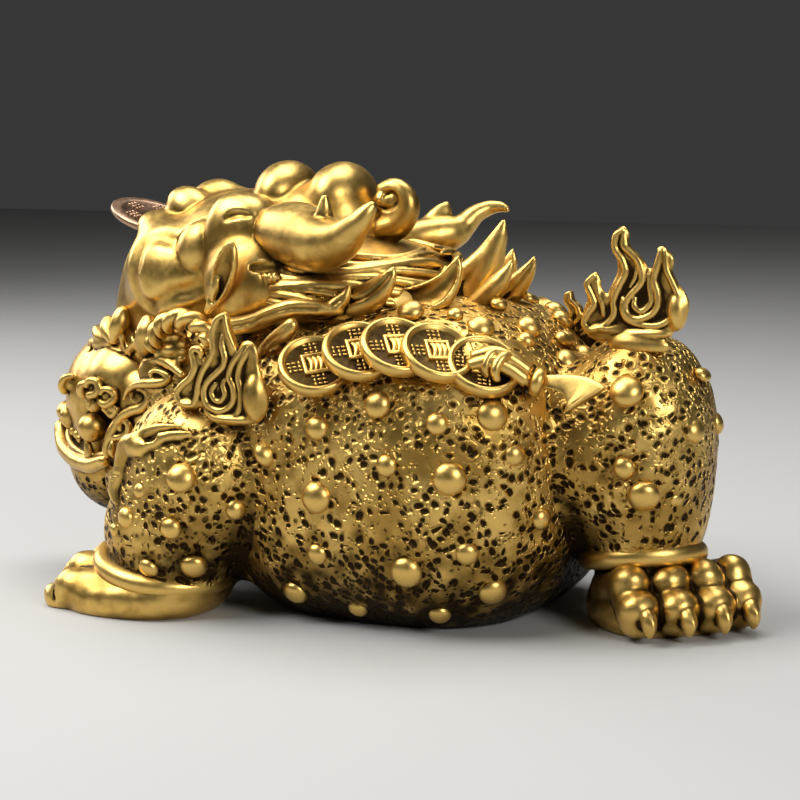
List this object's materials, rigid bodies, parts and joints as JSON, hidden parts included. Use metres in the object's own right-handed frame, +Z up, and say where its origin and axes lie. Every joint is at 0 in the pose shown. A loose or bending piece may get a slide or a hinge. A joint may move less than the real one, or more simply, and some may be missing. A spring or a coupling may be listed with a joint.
{
  "type": "money toad figurine",
  "caption": "Cast brass money toad with pitted warty skin, a horned and maned head, a beast face on its chest, strings of coins, flame ornaments and a loose coin in its mouth.",
  "frame": {"origin": "middle of the flat underside of the belly, on the surface the toad stands on", "axes": "+Z up, -X the way the toad looks, -Y its left side, the millimetre source scaled to metres"},
  "size_m": [0.3147, 0.1788, 0.1746],
  "materials": {
    "antique_brass": "satin, dark brown patina left in the hollows",
    "brown_brass": "dull brown"
  },
  "bodies": {
    "root": {"toad": "antique_brass", "mouth_coin": "brown_brass"}
  },
  "joints": []
}
